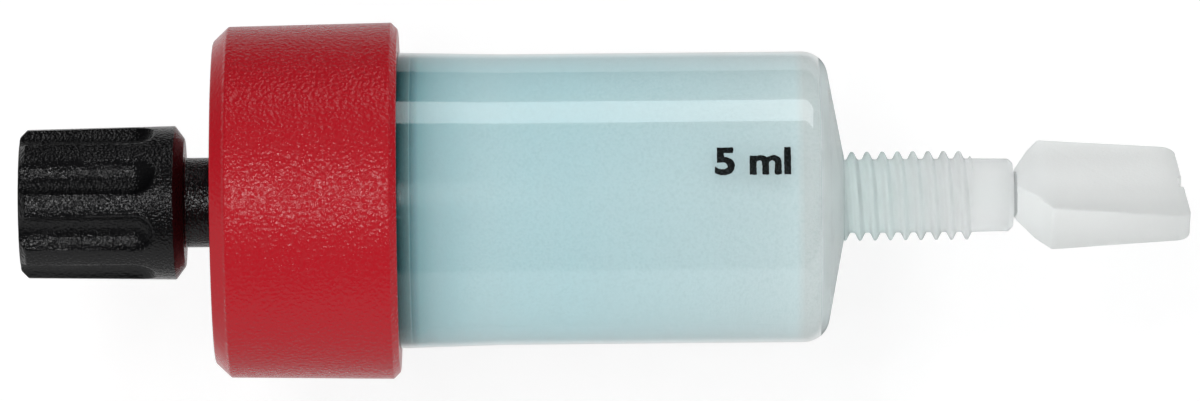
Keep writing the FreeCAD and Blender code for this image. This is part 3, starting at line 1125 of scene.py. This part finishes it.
@dataclass(frozen=True)
class Barrel:
    """The clear barrel with its end wall, threaded outlet nose and snap-off tab."""

    places: Places
    bore_radius: float = 8.00
    radius: float = 9.55
    flare: float = 0.16
    flare_length: float = 6.80
    end_rounding: float = 1.70
    cone_tip_radius: float = 2.723
    thread_root: float = 2.413
    thread_crest: float = 2.915
    hole_radius: float = 0.60
    hole_end: float = 0.50
    neck_radius: float = 1.50
    neck_waist: float = 1.42
    neck_embed: float = 0.15
    nose_radius: float = 2.378
    nose_bevel: float = 0.30
    thread_pitch: float = 1.0
    thread_phase: float = 0.04
    crest_width: float = 0.14
    flank_width: float = 0.29
    flank_easing: float = 0.45
    run_out: float = 0.27
    thread_row: float = 0.042

    def threaded(self, radius: float, angle: float, height: float) -> float:
        """The nose's radius with its right-hand thread.

        Args:
            radius: the radius without a thread.
            angle: angle about the axis, in radians from +X.
            height: height along the axis.

        Returns:
            The radius at that spot.
        """
        at = self.places
        if abs(radius - self.thread_root) > 1e-6 or not at.nose_root < height <= at.outlet_thread_end:
            return radius
        turns = (height - at.nose_root - self.thread_phase) / self.thread_pitch - angle / (2 * math.pi)
        away = abs(turns - round(turns)) * self.thread_pitch
        share = max(0.0, min(1.0, (self.crest_width / 2 + self.flank_width - away) / self.flank_width))
        eased = (1 - self.flank_easing) * share + self.flank_easing * share * share * (3 - 2 * share)
        left = max(0.0, min(1.0, (at.outlet_thread_end - height) / self.run_out))
        return self.thread_root + (self.thread_crest - self.thread_root) * min(eased, left)

    def profile(self) -> list[Point]:
        """The barrel's profile from the bottom of its outlet hole round the rim to the neck under the tab."""
        at = self.places
        inner = [
            (0.0, at.nose_end - self.hole_end, 0.0),
            (self.hole_radius, at.nose_end - self.hole_end, 0.0),
            (self.hole_radius, at.bore_end, 0.0),
            (self.bore_radius, at.bore_end, 0.30),
            (self.bore_radius, at.barrel_rim, 0.15),
            (self.radius + self.flare, at.barrel_rim, 0.20),
            (self.radius + self.flare, at.lid_rim, 0.0),
            (self.radius, at.lid_rim + self.flare_length, 0.0),
            (self.radius, at.cone_base, self.end_rounding),
            (self.cone_tip_radius, at.nose_root, 0.10),
            (self.thread_root, at.nose_root + 0.01, 0.0),
        ]
        outer = [
            (self.thread_root, at.outlet_thread_end, 0.0),
            (self.nose_radius, at.nose_end - self.nose_bevel, 0.20),
            (self.nose_radius - self.nose_bevel, at.nose_end, 0.06),
            (self.neck_radius, at.nose_end, 0.05),
            (self.neck_waist, (at.nose_end + at.tab_base) / 2, 0.05),
            (self.neck_radius, at.tab_base, 0.05),
            (self.neck_radius, at.tab_base + self.neck_embed, 0.0),
            (0.0, at.tab_base + self.neck_embed, 0.0),
        ]
        count = int((at.outlet_thread_end - at.nose_root) / self.thread_row)
        step = (at.outlet_thread_end - at.nose_root) / count
        thread = [(self.thread_root, at.nose_root + step * index) for index in range(1, count)]
        return rounded(inner, steps=12) + thread + rounded(outer)

    def build(self, wall: Material, frosted: Material, bore: Material) -> Object:
        """Make the barrel as one moulded piece.

        Args:
            wall: the glossy plastic of the wall.
            frosted: the plastic of the nose and the tab.
            bore: the inner side of the wall, against the liquid inside.

        Returns:
            The finished piece.
        """
        at = self.places
        profile = self.profile()
        heights = [(here[1] + there[1]) / 2 for here, there in zip(profile, profile[1:])]
        first_outer = next(index for index, point in enumerate(profile) if point[0] > self.bore_radius + 0.2)

        def side(row: int) -> int:
            """Material slot of the faces after a row: wall, nose or bore."""
            if row < first_outer:
                return 2
            return int(heights[row] > at.bore_end + 0.2)

        sketch = Sketch()
        sketch.add_rows(turned_rows(profile, even_angles(216), self.threaded), False, side)
        sketch.add_mesh(SnapOffTab(at).mesh(), 1)
        piece = sketch.piece("moulded_barrel", [wall, frosted, bore], sharp=32.0)
        return seat(piece, Body.COLUMN, Slot.CLEAR, "barrel")


@dataclass(frozen=True)
class Packing:
    """The bed between its frits, and the two seals."""

    places: Places
    radius: float = 7.98
    end_gap: float = 0.02
    plug_seal_inner: float = 1.57
    plug_seal_outer: float = 2.41
    lid_seal_inner: float = 6.80
    bore_radius: float = 8.00
    ring_easing: float = 0.42

    def disc(self, name: str, low: float, high: float, slot: Slot, material: Material) -> Object:
        """Make one filled disc in the bore.

        Args:
            name: the node's name, which the piece's name follows.
            low: its lower face.
            high: its upper face.
            slot: the record's material slot.
            material: its material.

        Returns:
            The finished piece.
        """
        corners = [(0.0, low, 0.0), (self.radius, low, 0.0), (self.radius, high, 0.0), (0.0, high, 0.0)]
        piece = turned_piece(name + "_form", corners, material, closed=False, columns=160)
        return seat(piece, Body.COLUMN, slot, name)

    def ring(
        self, name: str, inner: float, outer: float, low: float, high: float, body: Body, material: Material
    ) -> Object:
        """Make one seal ring with rounded edges.

        Args:
            name: the node's name, which the piece's name follows.
            inner: its inner radius.
            outer: its outer radius.
            low: its lower face.
            high: its upper face.
            body: the body it moves with.
            material: its material.

        Returns:
            The finished piece.
        """
        ease = self.ring_easing * min(outer - inner, high - low)
        corners = [(inner, low, ease), (outer, low, ease), (outer, high, ease), (inner, high, ease)]
        piece = turned_piece(name + "_form", corners, material, closed=True, columns=128)
        return seat(piece, body, Slot.SEAL, name)

    def build(self, gel: Material, shaded_frit: Material, frit: Material, seal: Material) -> None:
        """Make the bed, the frits and the seals.

        Args:
            gel: the bed's material.
            shaded_frit: the top frit's material.
            frit: the bottom frit's material.
            seal: the seals' material.
        """
        at = self.places
        # The top frit is darkened and tinted teal as painted shade under the lid.
        self.disc("top_frit", at.boss_end, at.bed_top, Slot.FRIT, shaded_frit)
        self.disc("packed_bed", at.bed_top, at.bed_end, Slot.GEL, gel)
        self.disc("bottom_frit", at.bed_end, at.bore_end - self.end_gap, Slot.FRIT, frit)
        inner, outer = self.lid_seal_inner, self.bore_radius
        self.ring("lid_seal_ring", inner, outer, at.groove_top, at.groove_end, Body.COLUMN, seal)
        inner, outer = self.plug_seal_inner, self.plug_seal_outer
        self.ring("plug_seal_ring", inner, outer, at.plug_seal_top, at.port_floor, Body.PLUG_SEAL, seal)


@dataclass(frozen=True)
class Print:
    """The volume, printed round the barrel in rough-edged ink."""

    barrel_radius: float = 9.55
    azimuth: float = 14.2
    volume: str = "5 ml"
    volume_from: float = 45.40
    volume_to: float = 50.34
    cap_height: float = 1.86
    boldness: float = 0.034
    letter_depth: float = 0.04
    deepening: float = 3.0
    ink: float = 0.012
    lift: float = 0.002
    raggedness: float = 0.035
    rag_scale: float = 7.0
    seed: int = 3
    voxel: float = 0.045

    def flat_mark(self) -> Mesh:
        """Lay out the text flat.

        Returns:
            Its mesh, in millimetres: x along the axis, y up in the view, z out.
        """
        words = bpy.data.curves.new("volume_words", "FONT")
        words.body = self.volume
        words.offset = self.boldness
        words.extrude = self.letter_depth
        letters = finished_mesh("volume_words", words)
        xs = [vertex.co.x for vertex in letters.vertices]
        ys = [vertex.co.y for vertex in letters.vertices]
        left, low = min(xs), min(ys)
        wide = (self.volume_to - self.volume_from) / (max(xs) - left)
        tall = self.cap_height / (max(ys) - low)
        for vertex in letters.vertices:
            x, y, z = vertex.co
            vertex.co.x = self.volume_from + (x - left) * wide
            vertex.co.y = (y - low) * tall - self.cap_height / 2
            vertex.co.z = z * self.deepening
        work = bmesh.new()
        work.from_mesh(letters)
        bmesh.ops.remove_doubles(work, verts=work.verts, dist=1e-5)
        made = bpy.data.meshes.new("flat_mark")
        work.to_mesh(made)
        work.free()
        return made

    def even_out(self, carrier: Object) -> None:
        """Rebuild the letters from even cells, so that they bend smoothly round the barrel."""
        remesh = carrier.modifiers.new("even", "REMESH")
        remesh.mode = "VOXEL"
        remesh.voxel_size = self.voxel

    def build(self, material: Material) -> Object:
        """Make the print.

        Args:
            material: the ink.

        Returns:
            The finished piece.
        """
        sketch = Sketch()
        sketch.add_mesh(finished_mesh("flat_mark", self.flat_mark(), self.even_out))
        noise.seed_set(self.seed)
        for point in sketch.points:
            ragged = noise.noise_vector(Vector((point.x, point.y, 0.0)) * self.rag_scale) * self.raggedness
            depth = self.ink if point.z > 0 else 0.0
            around = math.radians(self.azimuth) + (point.y + ragged.y) / self.barrel_radius
            reach = self.barrel_radius + self.lift + depth
            point.xyz = (-reach * math.sin(around), -reach * math.cos(around), point.x + ragged.x)
        return seat(sketch.piece("volume_mark", [material], sharp=60.0), Body.COLUMN, Slot.BLACK)


# Studio


@dataclass(frozen=True)
class Studio:
    """The camera, the light tent, the strip light and the pale floor behind the column."""

    pixels_per_mm: float = 15.24
    frame_width: float = 1200.0
    distance: float = 640.0
    aim_height: float = 37.96
    drop: float = 0.12
    roll: float = 0.55
    floor_distance: float = 55.0
    floor_centre: float = 38.0
    floor_radius: float = 110.0
    soft_levels: tuple[Point, ...] = (
        (-180, 0.70), (-66, 0.55), (-60, 0.65), (-30, 0.85), (0, 1.05), (30, 0.85),
        (60, 0.60), (66, 0.15), (101, 0.15), (112, 0.6), (180, 0.70),
    )
    shine_levels: tuple[Point, ...] = (
        (-180, 0.45), (-150, 0.45), (-115, 0.40), (-64, 0.50), (-60, 0.50), (-57, 0.04), (-30, 0.04),
        (0, 0.08), (30, 0.05), (60, 0.03), (120, 0.03), (150, 0.42), (180, 0.45),
    )
    through_levels: tuple[Point, ...] = (
        (-180, 1.9), (-120, 2.0), (-60, 1.8), (0, 1.5), (60, 1.6), (120, 2.0), (180, 1.9),
    )
    floor_glow: float = 0.34
    strip_angle: float = 72.2
    strip_distance: float = 400.0
    strip_width: float = 146.0
    strip_start: float = 14.0
    strip_length: float = 300.0
    strip_radiance: float = 1.9
    key_angle: float = 5.0
    key_height: float = 170.0
    key_width: float = 62.0
    key_place: float = -19.0
    key_distance: float = 600.0
    key_radiance: float = 16.5

    def camera(self) -> None:
        """Place the camera on the column's -Y side, with -X up in its view."""
        data = bpy.data.cameras.new("camera")
        data.sensor_width = 36.0
        data.lens = 36.0 * self.distance / (self.frame_width / self.pixels_per_mm)
        data.clip_start = 0.01
        data.clip_end = 10.0
        made = placed("camera", data)
        roll = math.radians(self.roll)
        right = Vector((math.sin(roll), 0.0, math.cos(roll)))
        up = Vector((-math.cos(roll), 0.0, math.sin(roll)))
        turned = Matrix((right, up, Vector((0.0, -1.0, 0.0)))).transposed().to_4x4()
        made.matrix_world = Matrix.Translation(Vector((self.drop, -self.distance, self.aim_height)) * MM) @ turned
        bpy.context.scene.camera = made

    def lamp(
        self, name: str, angle: float, distance: float, place: float, length: float, width: float, radiance: float
    ) -> Object:
        """Hang one rectangular lamp that faces the column's axis.

        Args:
            name: the lamp's name.
            angle: its angle from the camera's side, in degrees, upwards in the view.
            distance: its distance from the axis.
            place: the height along the axis of its middle.
            length: its size along the axis.
            width: its size across the axis.
            radiance: how bright it shines.

        Returns:
            The lamp.
        """
        data = bpy.data.lights.new(name, "AREA")
        data.shape = "RECTANGLE"
        data.size = length * MM
        data.size_y = width * MM
        data.energy = radiance * math.pi * data.size * data.size_y
        made = placed(name, data)
        turn = math.radians(angle)
        towards = Vector((-math.sin(turn), -math.cos(turn), 0.0))
        along = Vector((0.0, 0.0, 1.0))
        turned = Matrix((along, towards.cross(along), towards)).transposed().to_4x4()
        made.matrix_world = Matrix.Translation((towards * distance + along * place) * MM) @ turned
        made.visible_camera = False
        return made

    def lamps(self) -> None:
        """Hang the long strip above the barrel and the small key light in front of the head and the lid."""
        place = self.strip_start + self.strip_length / 2
        length, width = self.strip_length, self.strip_width
        strip = self.lamp("strip", self.strip_angle, self.strip_distance, place, length, width, self.strip_radiance)
        strip.visible_diffuse = False
        length, width = self.key_width, self.key_height
        self.lamp("key", self.key_angle, self.key_distance, self.key_place, length, width, self.key_radiance)

    def tent(self) -> None:
        """Light the column from a soft tent, brightest in front and dim at its upper seam."""
        world = bpy.data.worlds.new("tent")
        world.use_nodes = True
        bpy.context.scene.world = world
        wires = Wiring(world.node_tree)
        for old in list(world.node_tree.nodes):
            world.node_tree.nodes.remove(old)
        direction = wires.node("ShaderNodeTexCoord").outputs["Generated"]
        up = wires.times(wires.axis(direction, "X"), -1.0)
        ahead = wires.times(wires.axis(direction, "Y"), -1.0)
        angle = wires.maths("ARCTAN2", up, ahead)
        share = wires.maths("MULTIPLY_ADD", angle, 0.5 / math.pi, 0.5)
        path = wires.node("ShaderNodeLightPath").outputs
        level: Value = self.level_at(wires, share, self.soft_levels)
        shine = self.level_at(wires, share, self.shine_levels)
        through = self.level_at(wires, share, self.through_levels)
        for seen, other in (
            (path["Is Transmission Ray"], through),
            (self.mirrored(wires, path), shine),
            (path["Is Camera Ray"], 1.0),
        ):
            level = wires.node("ShaderNodeMix", {0: seen, 2: level, 3: other}, data_type="FLOAT").outputs[0]
        glow = wires.node("ShaderNodeBackground", {"Color": grey(1.0), "Strength": level})
        wires.node("ShaderNodeOutputWorld", {"Surface": glow.outputs[0]})

    def mirrored(self, wires: Wiring, path: Sockets) -> NodeSocket:
        """Tell a reflected ray from one that passed through clear plastic, which counts as glossy too."""
        return wires.times(path["Is Glossy Ray"], wires.maths("SUBTRACT", 1.0, path["Is Transmission Ray"]))

    def level_at(self, wires: Wiring, share: Value, levels: Sequence[Point]) -> NodeSocket:
        """Read the tent's level at a direction.

        Args:
            wires: the world's wiring.
            share: the direction's angle from the camera's side, as a share of a whole turn.
            levels: (angle in degrees, level) pairs, positive angles upwards in the view.

        Returns:
            The level there.
        """
        ramp = wires.node("ShaderNodeValToRGB", {0: share})
        stops = ramp.color_ramp.elements
        for index, (angle, level) in enumerate(levels):
            place = angle / 360 + 0.5
            stop = stops[index] if index < 2 else stops.new(place)
            stop.position = place
            stop.color = grey(level / 2)
        return wires.times(ramp.outputs[0], 2.0)

    def floor(self) -> None:
        """Stand the pale floor behind the column, seen only from the camera's side."""
        centre = Vector((0.0, self.floor_distance, self.floor_centre))
        spokes = [Vector((math.cos(angle), 0.0, math.sin(angle))) for angle in even_angles(96)]
        mesh = bpy.data.meshes.new("floor")
        mesh.from_pydata([(centre + spoke * self.floor_radius) * MM for spoke in spokes], [], [range(len(spokes))])
        made = placed("floor", mesh)
        wires = Skin("pale_floor", Roughness=0.9, Specular_IOR_Level=0.1, Emission_Color=grey(1.0))
        path = wires.node("ShaderNodeLightPath").outputs
        place = wires.place()
        pale = wires.blend(wires.clouds(place, 0.4)["Fac"], grey(0.77), grey(0.80))
        far = wires.spread(wires.maths("ABSOLUTE", wires.axis(place, "X")), 28.0, 50.0)
        dim = wires.blend(far, grey(0.85), grey(0.48))
        wires.feed(wires.surface.inputs["Base Color"], wires.blend(self.mirrored(wires, path), pale, dim))
        shown = wires.maths("MAXIMUM", path["Is Camera Ray"], path["Is Transmission Ray"])
        wires.feed(wires.surface.inputs["Emission Strength"], wires.times(shown, self.floor_glow))
        behind = wires.node("ShaderNodeNewGeometry").outputs["Backfacing"]
        clear = wires.node("ShaderNodeBsdfTransparent").outputs[0]
        both = wires.node("ShaderNodeMixShader", {0: behind, 1: wires.surface.outputs[0], 2: clear})
        wires.feed(wires.tree.nodes["Material Output"].inputs["Surface"], both.outputs[0])
        mesh.materials.append(wires.material)
        if mesh.polygons[0].normal.y > 0:
            mesh.flip_normals()

    def build(self) -> None:
        """Set up the camera, the lights and the floor."""
        self.camera()
        self.lamps()
        self.tent()
        self.floor()
        bpy.context.scene.view_settings.view_transform = "Standard"


def main() -> None:
    """Build the sub-assemblies in order, logging the faces of each piece."""
    logging.basicConfig(level=logging.INFO, format="%(name)s %(message)s")
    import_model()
    places = Places()
    effects = Effects()
    black = GrainedPlastic(
        "black_grained", roughness=0.13, colour=(0.0022, 0.0022, 0.0027, 1.0),
        rubbed=(0.0040, 0.0040, 0.0050, 1.0), cells_per_mm=5.8, grain_depth=0.044, dust_share=0.10,
    ).material(effects)
    red = GrainedPlastic(
        "red_grained", roughness=0.18, colour=(0.50, 0.006, 0.015, 1.0),
        rubbed=(0.56, 0.010, 0.022, 1.0), cells_per_mm=4.0, grain_depth=0.062, smooth_to=13.75, dust_share=0.06,
    ).material(effects)
    wall = ClearWall(
        "clear_wall", roughness=0.09, specular=0.1, ior=1.49, transmission=0.85, coat=1.0
    ).material(effects)
    bore = ClearWall("wet_bore", roughness=0.18, specular=0.1, ior=1.11, transmission=1.0).material(effects)
    frosted = FrostedPlastic("frosted_nose", roughness=0.50, ior=1.49, transmission=0.85).material(effects)
    gel = PackedGel("packed_gel", roughness=0.60, specular=0.2).material(effects)
    frit = PorousDisc("sintered_frit", roughness=0.8).material(effects)
    # The top frit's darker teal is painted shade under the lid; the bottom frit keeps the plain colour.
    shaded_frit = PorousDisc(
        "painted_shade_frit", roughness=0.8, colour=(0.28, 0.60, 0.63, 1.0), pore=(0.24, 0.52, 0.56, 1.0)
    ).material(effects)
    seal = SoftRubber("seal_rubber", roughness=0.6).material(effects)
    ink = PrintedInk("black_ink", roughness=0.45, specular=0.12).material(effects)

    StopPlug(places).build(black)
    Lid(places).build(red)
    Barrel(places).build(wall, frosted, bore)
    Packing(places).build(gel, shaded_frit, frit, seal)
    Print().build(ink)
    Studio().build()


if __name__ == "__main__":
    main()
